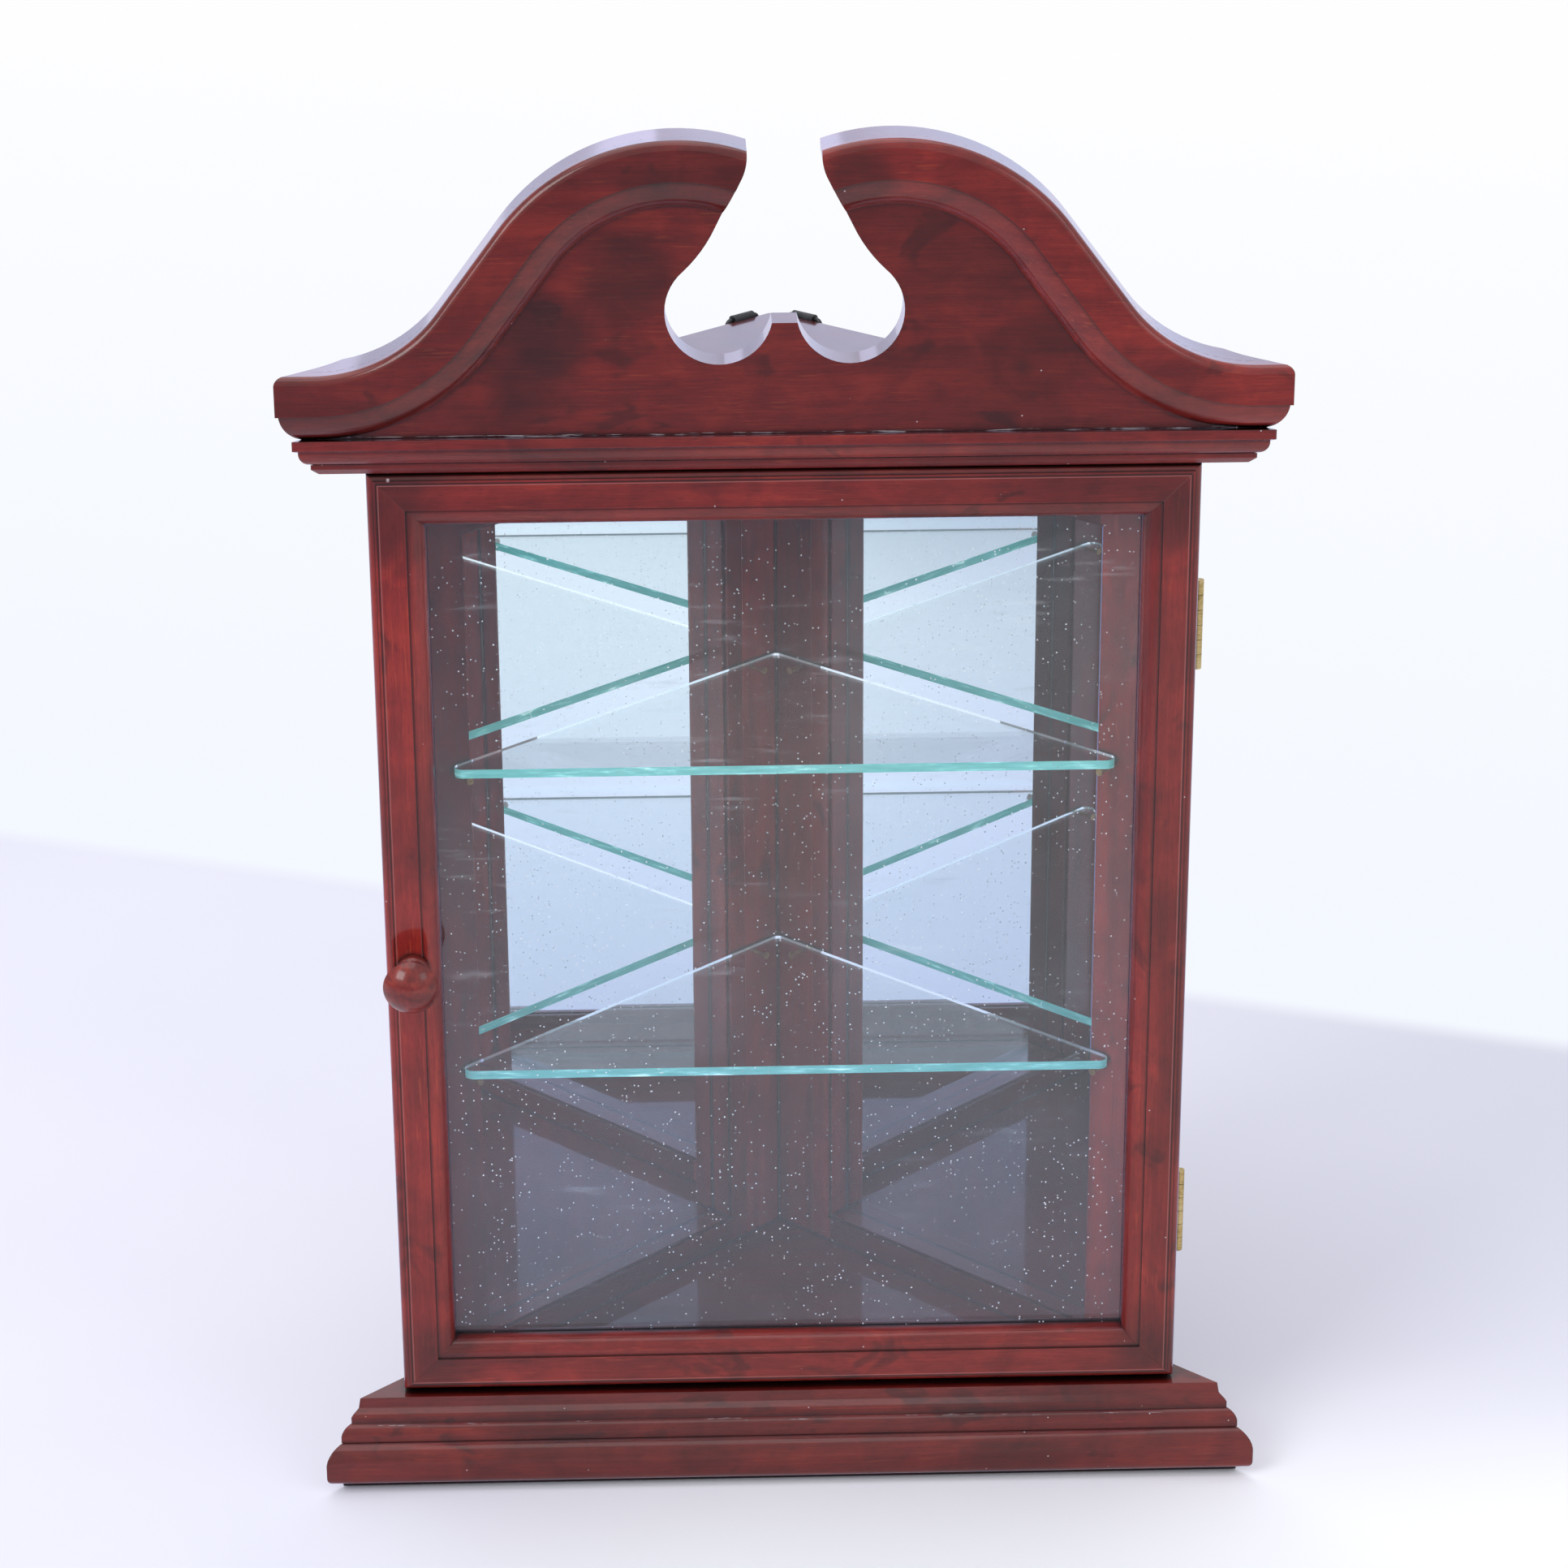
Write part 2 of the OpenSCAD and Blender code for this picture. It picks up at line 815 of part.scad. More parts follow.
// Section of a door member: x = distance in from the outer edge, y = depth from the face
module door_section() {
    bead_y = arris_h + edge_bead_r;
    union() {
        translate([0, bead_y]) square([ovolo_u, door_t - bead_y]);
        translate([edge_bead_r, 0]) square([ovolo_u - door_quirk - edge_bead_r, door_t]);
        translate([edge_bead_r, bead_y]) circle(edge_bead_r);
        translate([ovolo_u - door_quirk - eps, door_quirk])
            square([door_quirk + eps, door_t - door_quirk]);
        intersection() {
            translate([ovolo_u, door_quirk + ovolo_r]) circle(ovolo_r);
            translate([ovolo_u - eps, 0]) square([ovolo_r + 2 * eps, door_quirk + ovolo_r + eps]);
        }
        translate([ovolo_u - eps, door_quirk + ovolo_r])
            square([ovolo_r + eps, ovolo_lip]);
    }
}

// Keeps the part of a member between its two mitres. The member lies along the left edge
module mitred(length) {
    intersection() {
        children();
        translate([0, -door_t, 0])
            rotate([-90, 0, 0])
                linear_extrude(door_t * 3)
                    polygon([[0, 0], [length / 2, -length / 2], [0, -length]]);
    }
}

module door_member(length) {
    mitred(length) linear_extrude(length) door_section();
}

module at_left_edge() {
    place() translate([-half_door, 0, door_z]) children();
}

module at_right_edge() {
    place() translate([half_door, 0, door_z]) mirror([1, 0, 0]) children();
}

module at_top_edge() {
    place() translate([-half_door, 0, door_top]) rotate([0, 90, 0]) children();
}

module at_bottom_edge() {
    place() translate([half_door, 0, door_z]) rotate([0, -90, 0]) children();
}

module door_left_stile() {
    color(wood) difference() {
        at_left_edge() door_member(door_h);
        knob_holes();
        strike_holes();
    }
}

module door_right_stile() {
    color(wood) difference() {
        at_right_edge() door_member(door_h);
        door_hinge_cuts();
    }
}

module door_top_rail() {
    color(wood) at_top_edge() door_member(door_w);
}

module door_bottom_rail() {
    color(wood) at_bottom_edge() door_member(door_w);
}

module door_glass() {
    inset = ovolo_u + pane_gap;
    color(glass_tint, 0.3) place()
        translate([-half_door + inset, glass_y, door_z + inset])
            cube([door_w - 2 * inset, glass_t, door_h - 2 * inset]);
}

// Strips that hold the glass in its rabbet
module glass_bead(length) {
    bead_w = door_frame_w - ovolo_u;
    bead_h = door_t - glass_y - glass_t;
    mitred(length)
        linear_extrude(length)
            translate([ovolo_u, glass_y + glass_t])
                polygon([[0, 0], [bead_w, 0], [bead_w, bead_h / 2], [bead_w / 2, bead_h], [0, bead_h]]);
}

module left_glass_bead() {
    color(wood) at_left_edge() glass_bead(door_h);
}

module right_glass_bead() {
    color(wood) at_right_edge() glass_bead(door_h);
}

module top_glass_bead() {
    color(wood) at_top_edge() glass_bead(door_w);
}

module bottom_glass_bead() {
    color(wood) at_bottom_edge() glass_bead(door_w);
}

// ---------------------------------------------------------------- knob and catch

// A place on the back of the door's left stile, z pointing to the back
module on_left_stile(in_from_edge, up) {
    place()
        translate([-half_door + in_from_edge, 0, door_z + up])
            rotate([-90, 0, 0])
                children();
}

module knob_holes() {
    on_left_stile(knob_in, knob_at) {
        translate([0, 0, -eps]) cylinder(h = door_t + 2 * eps, r = knob_screw_r + fit);
        translate([0, 0, door_t - knob_screw_head_r])
            cylinder(h = knob_screw_head_r + eps, r1 = 0, r2 = knob_screw_head_r + fit);
    }
}

// Turned knob: foot, neck and a domed head
module knob() {
    head_t = knob_out / 2;
    head_z = knob_out - head_t;
    dome_r = (knob_r * knob_r + pow(head_t / 2, 2)) / head_t;
    color(wood) on_left_stile(knob_in, knob_at)
        rotate([180, 0, 0])
            difference() {
                rotate_extrude() {
                    square([knob_foot_r, knob_foot_t / 2]);
                    intersection() {
                        translate([knob_foot_r - knob_foot_t / 2, knob_foot_t / 2])
                            circle(knob_foot_t / 2);
                        square([knob_r, knob_foot_t]);
                    }
                    square([knob_foot_r - knob_foot_t / 2, knob_foot_t]);
                    difference() {
                        square([knob_foot_r, head_z + head_t / 2]);
                        translate([knob_neck_r + head_z / 2, head_z / 2 + knob_foot_t / 2])
                            circle(head_z / 2);
                    }
                    intersection() {
                        translate([0, knob_out - dome_r]) circle(dome_r);
                        translate([0, head_z + head_t / 2]) square([knob_r, head_t]);
                    }
                    intersection() {
                        translate([0, head_z + dome_r]) circle(dome_r);
                        translate([0, head_z]) square([knob_r, head_t / 2]);
                    }
                }
                translate([0, 0, -eps])
                    cylinder(h = knob_screw_l - door_t + eps + 1, r = knob_screw_r + fit);
            }
}

// A countersunk screw whose head is flush with z = 0 and whose shank points down
module countersunk(r, head_r, length) {
    translate([0, 0, -head_r])
        cylinder(h = head_r, r1 = 0, r2 = head_r);
    translate([0, 0, -length])
        cylinder(h = length - (head_r - r) + eps, r = r);
}

module knob_screw() {
    color("silver") on_left_stile(knob_in, knob_at)
        translate([0, 0, door_t])
            countersunk(knob_screw_r, knob_screw_head_r, knob_screw_l);
}

module strike_holes() {
    on_left_stile(magnet_in, magnet_at) {
        translate([0, 0, door_t - strike_t]) cylinder(h = strike_t + eps, r = strike_r + fit);
        translate([0, 0, door_t - screw_l - fit]) cylinder(h = screw_l, r = screw_r + fit);
        translate([0, 0, door_t - screw_head_r])
            cylinder(h = screw_head_r + eps, r1 = 0, r2 = screw_head_r + fit);
    }
}

module strike_disc() {
    color("silver") on_left_stile(magnet_in, magnet_at)
        difference() {
            translate([0, 0, door_t - strike_t]) cylinder(h = strike_t, r = strike_r);
            translate([0, 0, door_t - screw_head_r])
                cylinder(h = screw_head_r + eps, r1 = 0, r2 = screw_head_r + fit);
        }
}

module strike_screw() {
    color("silver") on_left_stile(magnet_in, magnet_at)
        translate([0, 0, door_t])
            countersunk(screw_r, screw_head_r, screw_l);
}

module magnet_hole() {
    on_left_stile(magnet_in, magnet_at)
        translate([0, 0, case_y - eps])
            cylinder(h = magnet_l - magnet_proud + eps, r = magnet_r + fit);
}

module magnet() {
    color(dark_steel) on_left_stile(magnet_in, magnet_at)
        translate([0, 0, case_y - magnet_proud])
            cylinder(h = magnet_l, r = magnet_r);
}

// ---------------------------------------------------------------- hinges

function hinge_z(which) = door_mid + (which == "upper" ? hinge_at : -hinge_at);

// The recess for the case leaf and the holes of its screws, for both hinges
module case_hinge_cuts() {
    for (which = ["upper", "lower"]) {
        place()
            translate([half_door - leaf_w, case_y - eps, hinge_z(which) - hinge_h / 2])
                cube([leaf_w + hinge_out, leaf_t + eps, hinge_h]);
        leaf_screw_places(which)
            translate([0, case_y, 0])
                rotate([-90, 0, 0])
                    screw_hole();
    }
}

module door_hinge_cuts() {
    for (which = ["upper", "lower"]) {
        place()
            translate([half_door - leaf_w, door_t - leaf_t, hinge_z(which) - hinge_h / 2])
                cube([leaf_w + hinge_out, leaf_t + eps, hinge_h]);
        leaf_screw_places(which)
            translate([0, door_t, 0])
                rotate([90, 0, 0])
                    screw_hole();
    }
}

module leaf_screw_places(which) {
    for (s = [-1, 1])
        place()
            translate([leaf_screw_x, 0, hinge_z(which) + s * leaf_screw_pitch / 2])
                children();
}

// Drilled upwards from z = 0, with the countersink at z = 0
module screw_hole() {
    translate([0, 0, -eps])
        cylinder(h = screw_head_r, r1 = screw_head_r + fit, r2 = 0);
    translate([0, 0, -eps])
        cylinder(h = screw_l + fit + eps, r = screw_r + fit);
}

// One leaf: a plate with half of the knuckles. first = 0 or 1, plate_y = its front face
module leaf(which, first, plate_y, bore_r, turned) {
    color(brass) difference() {
        place() {
            translate([half_door - leaf_w, plate_y, hinge_z(which) - hinge_h / 2])
                cube([leaf_w, leaf_t, hinge_h]);
            for (i = [first : 2 : knuckles - 1])
                translate([0, 0, hinge_z(which) - hinge_h / 2 + i * (knuckle_h + knuckle_gap)])
                    linear_extrude(knuckle_h)
                        difference() {
                            union() {
                                translate([axis_x, axis_y]) circle(barrel_r);
                                translate([half_door - eps, plate_y])
                                    square([hinge_out + eps, leaf_t]);
                            }
                            translate([axis_x, axis_y]) circle(bore_r);
                        }
        }
        leaf_screw_places(which)
            translate([0, turned ? plate_y + leaf_t : plate_y, 0])
                rotate([turned ? 90 : -90, 0, 0])
                    screw_hole();
    }
}

module upper_case_leaf() {
    leaf("upper", 0, case_y, hinge_pin_r + fit, false);
}

module lower_case_leaf() {
    leaf("lower", 0, case_y, hinge_pin_r + fit, false);
}

module upper_door_leaf() {
    leaf("upper", 1, door_t - leaf_t, hinge_pin_r + running, true);
}

module lower_door_leaf() {
    leaf("lower", 1, door_t - leaf_t, hinge_pin_r + running, true);
}

module hinge_pins() {
    color(brass)
        for (which = ["upper", "lower"])
            place()
                translate([axis_x, axis_y, hinge_z(which) - hinge_h / 2])
                    cylinder(h = hinge_h, r = hinge_pin_r);
}

module case_leaf_screws() {
    color(brass)
        for (which = ["upper", "lower"])
            leaf_screw_places(which)
                translate([0, case_y, 0])
                    rotate([90, 0, 0])
                        countersunk(screw_r, screw_head_r, screw_l);
}

module door_leaf_screws() {
    color(brass)
        for (which = ["upper", "lower"])
            leaf_screw_places(which)
                translate([0, door_t, 0])
                    rotate([-90, 0, 0])
                        countersunk(screw_r, screw_head_r, screw_l);
}

// ---------------------------------------------------------------- hangers

// The hanger's own place: x along the wall, y out of the wall from the ring axis, z up from it
module at_hanger(side) {
    on_wall(side) translate([hanger_a, hanger_d, hanger_z]) children();
}

strap_screw_z = -(strap_l - 5);

module hanger_strap(side) {
    color(dark_steel) at_hanger(side)
        difference() {
            union() {
                rotate([0, 90, 0])
                    translate([0, 0, -strap_w / 2])
                        cylinder(h = strap_w, r = strap_loop_r);
                translate([-strap_w / 2, -strap_loop_r, strap_screw_z])
                    cube([strap_w, strap_t, -strap_screw_z]);
                translate([0, -strap_loop_r, strap_screw_z])
                    rotate([-90, 0, 0])
                        cylinder(h = strap_t, r = strap_w / 2);
            }
            rotate([0, 90, 0])
                translate([0, 0, -strap_w])
                    cylinder(h = strap_w * 2, r = wire_r + running);
            translate([0, strap_t - strap_loop_r, strap_screw_z])
                rotate([90, 0, 0])
                    screw_hole();
        }
}

// A ring of wire with a straight bar in the strap's loop, hanging down
module hanger_ring(side) {
    bar = ring_r - ring_corner_r;
    color(dark_steel) at_hanger(side)
        rotate([90, 0, 0]) {
            rotate([0, 90, 0])
                translate([0, 0, -bar])
                    cylinder(h = bar * 2, r = wire_r);
            for (s = [0, 1])
                mirror([s, 0, 0])
                    translate([bar, -ring_corner_r, 0])
                        rotate_extrude(angle = 90)
                            translate([ring_corner_r, 0]) circle(wire_r);
            translate([0, -ring_corner_r, 0])
                rotate([0, 0, 180])
                    rotate_extrude(angle = 180)
                        translate([ring_r, 0]) circle(wire_r);
        }
}

module left_hanger_strap() {
    hanger_strap("left");
}

module right_hanger_strap() {
    hanger_strap("right");
}

module left_hanger_ring() {
    hanger_ring("left");
}

module right_hanger_ring() {
    hanger_ring("right");
}

module hanger_screws() {
    color("silver")
        for (side = ["left", "right"])
            at_hanger(side)
                translate([0, strap_t - strap_loop_r, strap_screw_z])
                    rotate([-90, 0, 0])
                        countersunk(screw_r, screw_head_r, screw_l);
}

// ---------------------------------------------------------------- nodes

base_moulding();
left_base_rail();
right_base_rail();
floor_board();
left_front_stile();
left_back_stile();
left_top_rail();
left_bottom_rail();
right_front_stile();
right_back_stile();
right_top_rail();
right_bottom_rail();
left_corner_board();
right_corner_board();
left_mirror();
right_mirror();
left_backing();
right_backing();
top_board();
cornice();
pediment_board();
left_scroll();
right_scroll();
shelf_pins();
upper_shelf();
lower_shelf();
door_left_stile();
door_right_stile();
door_top_rail();
door_bottom_rail();
door_glass();
left_glass_bead();
right_glass_bead();
top_glass_bead();
bottom_glass_bead();
knob();
knob_screw();
strike_disc();
strike_screw();
magnet();
upper_case_leaf();
lower_case_leaf();
upper_door_leaf();
lower_door_leaf();
hinge_pins();
case_leaf_screws();
door_leaf_screws();
left_hanger_strap();
right_hanger_strap();
left_hanger_ring();
right_hanger_ring();
hanger_screws();
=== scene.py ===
"""A corner display case in stained mahogany: materials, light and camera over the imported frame."""

import math

import bpy
from mathutils import Matrix, Vector

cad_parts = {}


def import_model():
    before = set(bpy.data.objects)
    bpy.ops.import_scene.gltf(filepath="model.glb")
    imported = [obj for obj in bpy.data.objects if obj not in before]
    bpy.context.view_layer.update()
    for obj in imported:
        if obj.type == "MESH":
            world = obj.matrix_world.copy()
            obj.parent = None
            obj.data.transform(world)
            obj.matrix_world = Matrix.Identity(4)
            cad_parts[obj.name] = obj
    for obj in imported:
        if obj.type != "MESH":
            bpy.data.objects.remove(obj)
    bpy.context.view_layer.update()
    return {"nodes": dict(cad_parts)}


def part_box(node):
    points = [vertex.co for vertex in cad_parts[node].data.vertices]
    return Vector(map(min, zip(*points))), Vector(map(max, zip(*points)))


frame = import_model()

nodes = frame["nodes"]

# ---------------------------------------------------------------- camera

# Place and turn of the photo's camera, fitted to the straight edges of the case
CAM_PLACE = (-0.045837, -1.739457, 0.970951)
CAM_PITCH = 0.366687
CAM_YAW = -0.026979
CAM_ROLL = 0.005294
CAM_LENS = 94.922


def make_camera():
    data = bpy.data.cameras.new("camera")
    data.sensor_fit = "HORIZONTAL"
    data.sensor_width = 36.0
    data.lens = CAM_LENS
    cam = bpy.data.objects.new("camera", data)
    bpy.context.scene.collection.objects.link(cam)
    flat = Vector((-math.sin(CAM_YAW), math.cos(CAM_YAW), 0.0))
    side = Vector((math.cos(CAM_YAW), math.sin(CAM_YAW), 0.0))
    ahead = flat * math.cos(CAM_PITCH) - Vector((0, 0, 1)) * math.sin(CAM_PITCH)
    over = flat * math.sin(CAM_PITCH) + Vector((0, 0, 1)) * math.cos(CAM_PITCH)
    right = side * math.cos(CAM_ROLL) - over * math.sin(CAM_ROLL)
    up = side * math.sin(CAM_ROLL) + over * math.cos(CAM_ROLL)
    turn = Matrix((right, up, -ahead)).transposed().to_4x4()
    cam.matrix_world = Matrix.Translation(CAM_PLACE) @ turn
    bpy.context.scene.camera = cam


make_camera()

# ---------------------------------------------------------------- node helpers


def srgb(text):
    """The linear colour of a #rrggbb text."""
    parts = [int(text[i:i + 2], 16) / 255 for i in (1, 3, 5)]
    return tuple(c / 12.92 if c <= 0.04045 else ((c + 0.055) / 1.055) ** 2.4 for c in parts) + (1.0,)


class Tree:
    """A material's node tree, built by short calls that return sockets."""

    def __init__(self, name):
        self.material = bpy.data.materials.new(name)
        self.material.use_nodes = True
        self.tree = self.material.node_tree
        self.tree.nodes.clear()
        self.at = self.add("ShaderNodeTexCoord")

    def add(self, kind, values=None, **settings):
        node = self.tree.nodes.new(kind)
        for key, value in settings.items():
            setattr(node, key, value)
        for key, value in (values or {}).items():
            socket = node.inputs[key]
            if isinstance(value, bpy.types.NodeSocket):
                self.tree.links.new(value, socket)
            else:
                socket.default_value = value
        return node

    def math(self, operation, a, b=0.0, clamp=False):
        node = self.add("ShaderNodeMath", {0: a, 1: b}, operation=operation)
        node.use_clamp = clamp
        return node.outputs[0]

    def vector(self, operation, a, b=(0.0, 0.0, 0.0)):
        node = self.add("ShaderNodeVectorMath", {0: a, 1: b}, operation=operation)
        return node.outputs["Value" if operation in ("DOT_PRODUCT", "LENGTH") else "Vector"]

    def split(self, socket):
        return self.add("ShaderNodeSeparateXYZ", {0: socket}).outputs

    def noise(self, where, stretch=(1.0, 1.0, 1.0), detail=3.0, rough=0.55, warp=0.0, colour=False):
        scaled = self.vector("MULTIPLY", where, stretch)
        values = {"Vector": scaled, "Scale": 1.0, "Detail": detail, "Roughness": rough, "Distortion": warp}
        return self.add("ShaderNodeTexNoise", values).outputs[1 if colour else 0]

    def cells(self, where, scale):
        return self.add("ShaderNodeTexVoronoi", {"Vector": where, "Scale": scale}).outputs

    def fit(self, value, low, high, to_low=0.0, to_high=1.0, smooth=True):
        values = {"Value": value, "From Min": low, "From Max": high, "To Min": to_low, "To Max": to_high}
        kind = "SMOOTHSTEP" if smooth else "LINEAR"
        return self.add("ShaderNodeMapRange", values, interpolation_type=kind).outputs[0]

    def ramp(self, value, stops):
        node = self.add("ShaderNodeValToRGB", {0: value})
        points = node.color_ramp.elements
        while len(points) < len(stops):
            points.new(0.5)
        for point, (place, colour) in zip(points, stops):
            point.position = place
            point.color = srgb(colour)
        return node.outputs[0]

    def mix(self, amount, a, b, how="MIX"):
        node = self.add("ShaderNodeMix", {0: amount, 6: a, 7: b}, data_type="RGBA", blend_type=how)
        return node.outputs[2]

    def band(self, value, centre, half):
        """1 where value lies within half of centre, and 0 a little further off."""
        off = self.math("ABSOLUTE", self.math("SUBTRACT", value, centre))
        return self.fit(off, half * 1.25, half * 0.75)

    def far_from(self, where, point):
        """The distance of a place from a point, in metres."""
        return self.vector("LENGTH", self.vector("SUBTRACT", where, point))

    def finish(self, shader):
        self.add("ShaderNodeOutputMaterial", {0: shader})
        return self.material


def specks(t, place, scale, size, share):
    """Small round spots, one in some of the cells of a grid."""
    cell = t.cells(place, scale)
    pick = t.fit(t.split(cell["Color"])[0], 1.0 - share, 1.0 - share + 0.01)
    return t.math("MULTIPLY", t.fit(cell["Distance"], size, size * 0.5), pick)


# ---------------------------------------------------------------- places on the case


def corners(name):
    """The lowest and the highest corner of a node, in metres, to the micrometre."""
    return [[round(v, 6) for v in corner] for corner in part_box(name)]


DOOR_SIDE, _, DOOR_TOP = corners("door_top_rail")[1]
_, DOOR_FACE, DOOR_FOOT = corners("door_bottom_rail")[0]
_, BASE_FACE, _ = corners("base_moulding")[0]
_, _, BASE_TOP = corners("base_moulding")[1]
_, PEDIMENT_FACE, PEDIMENT_FOOT = corners("pediment_board")[0]

# A nail head at the door's top left corner, and a chip in the base
NAIL = (0.0094 - DOOR_SIDE, DOOR_FACE + 0.0005, DOOR_TOP - 0.0025)
CHIP = (0.0182, BASE_FACE + 0.0115, BASE_TOP - 0.0134)

# The darker stain in the four corners of the door
DOOR_SMUDGES = [
    ((side * (DOOR_SIDE - 0.012), DOOR_FACE, height), 0.026)
    for side in (-1, 1) for height in (DOOR_TOP - 0.017, DOOR_FOOT + 0.016)
]

# ---------------------------------------------------------------- mahogany

# How each member's coordinates are turned, so that its grain runs along the first axis
GRAIN = {
    "across": (0.0, 0.0, 0.0),
    "upright": (0.0, math.pi / 2, 0.0),
    "left wall": (0.0, 0.0, -math.pi / 4),
    "right wall": (0.0, 0.0, math.pi / 4),
}

# The painted quirk round the door, in colour only: a dark line of painted shade with a lit line of painted
# highlight beside it. Its distance from the sides and the top, and from the foot, the half widths of its
# dark line and of the lit line beside it, and the distance between the two lines
PAINTED_QUIRK_INSET = 0.0042
PAINTED_QUIRK_UP = 0.0035
QUIRK_SHADE_HALF = 0.00032
LIT_HALF = 0.00022
LIT_OFF = 0.0008


def stained(t, start, along, cloud, fine, tone):
    """The red of the stain, in streaks and clouds, with lighter flecks."""
    broad = t.noise(along, (8, 110, 110), 4, 0.6)
    mottle = t.noise(start, (48, 60, 60), 3, 0.6, 0.8)
    mixed = t.math("ADD", t.math("MULTIPLY", broad, 0.44), t.math("MULTIPLY", fine, 0.24))
    mixed = t.math("ADD", mixed, t.math("MULTIPLY", mottle, 0.32))
    figure = t.fit(mixed, 0.36, 0.64, smooth=False)
    colour = t.ramp(figure, [(0.0, "#4b100e"), (0.5, "#621714"), (1.0, "#772119")])
    flecks = t.noise(along, (55, 1000, 1000), 2, 0.5)
    lit = t.math("MULTIPLY", t.fit(flecks, 0.60, 0.72), t.fit(cloud, 0.44, 0.60))
    colour = t.mix(t.math("MULTIPLY", lit, 0.22), colour, srgb("#984526"))
    # tone scales the colour of the member: partly the wood's own tone, partly painted light and shade for
    # how the light falls on that member
    shade = t.fit(cloud, 0.34, 0.58, 0.74 * tone, 1.08 * tone)
    grey = t.add("ShaderNodeCombineColor", {0: shade, 1: shade, 2: shade}).outputs[0]
    return t.mix(1.0, colour, grey, "MULTIPLY")


def smudged(t, colour, place, cloud, smudges):
    """Clouds of darker stain round some points."""
    for point, radius in smudges:
        ragged = t.math("ADD", t.far_from(place, point), t.fit(cloud, 0.3, 0.7, 0.5 * radius, -0.5 * radius))
        colour = t.mix(t.fit(ragged, radius, radius * 0.2, 0.0, 0.55), colour, srgb("#260b0c"))
    return colour


def worn(t, colour, start, eased, close):
    """Edges rubbed a little paler, in places."""
    turn = t.vector("DOT_PRODUCT", eased, t.add("ShaderNodeNewGeometry").outputs["Normal"])
    open_edge = t.math("MULTIPLY", t.fit(turn, 0.985, 0.86), t.fit(close, 0.55, 0.9))
    patchy = t.fit(t.noise(start, (60, 60, 60), 3), 0.38, 0.62, 0.02, 0.20)
    return t.mix(t.math("MULTIPLY", open_edge, patchy), colour, srgb("#8d4436"))


def painted_quirk_lines(t, colour, place, painted_quirks):
    """Dark lines of painted shade, each with a lit line of painted highlight on its inner side."""
    for axis, line, inward in painted_quirks:
        off = t.split(place)[axis]
        if axis == 0:
            off = t.math("ABSOLUTE", off)
        # The dark line is painted shade, and the lit line a painted highlight
        dark = t.band(off, line, QUIRK_SHADE_HALF)
        colour = t.mix(t.math("MULTIPLY", dark, 0.80), colour, srgb("#100404"))
        lit = t.band(off, line + inward * LIT_OFF, LIT_HALF)
        colour = t.mix(t.math("MULTIPLY", lit, 0.40), colour, srgb("#b0716c"))
    return colour


def dusted(t, colour, place, dust):
    """Broken pale lines of glue or dust in level corners."""
    height = t.split(place)[2]
    for level, half, share in dust:
        start = 0.66 - share * 0.3
        broken = t.fit(t.noise(place, (60, 400, 1600), 3, 0.7), start, start + 0.06)
        colour = t.mix(t.math("MULTIPLY", t.band(height, level, half), broken), colour, srgb("#958d90"))
    return colour


def marked(t, colour, place, stain, marks):
    """Small marks with a ragged outline."""
    for point, radius, pale in marks:
        ragged = t.math("ADD", t.far_from(place, point), t.fit(stain, 0.3, 0.7, -0.2 * radius, 0.2 * radius))
        colour = t.mix(t.fit(ragged, radius, radius * 0.6), colour, srgb(pale))
    return colour


def varnish(t, surface, shine, sheen):
    """The pale sheen that a polished varnish takes at a flat angle. sheen is (start, end, share)."""
    start, end, share = sheen
    flat = t.add("ShaderNodeLayerWeight", {"Blend": 0.5}).outputs["Facing"]
    gloss = t.add("ShaderNodeBsdfGlossy", {"Color": srgb("#dcdeff"), "Roughness": shine})
    amount = t.fit(flat, start, end, 0.0, share)
    return t.add("ShaderNodeMixShader", {0: amount, 1: surface, 2: gloss.outputs[0]}).outputs[0]


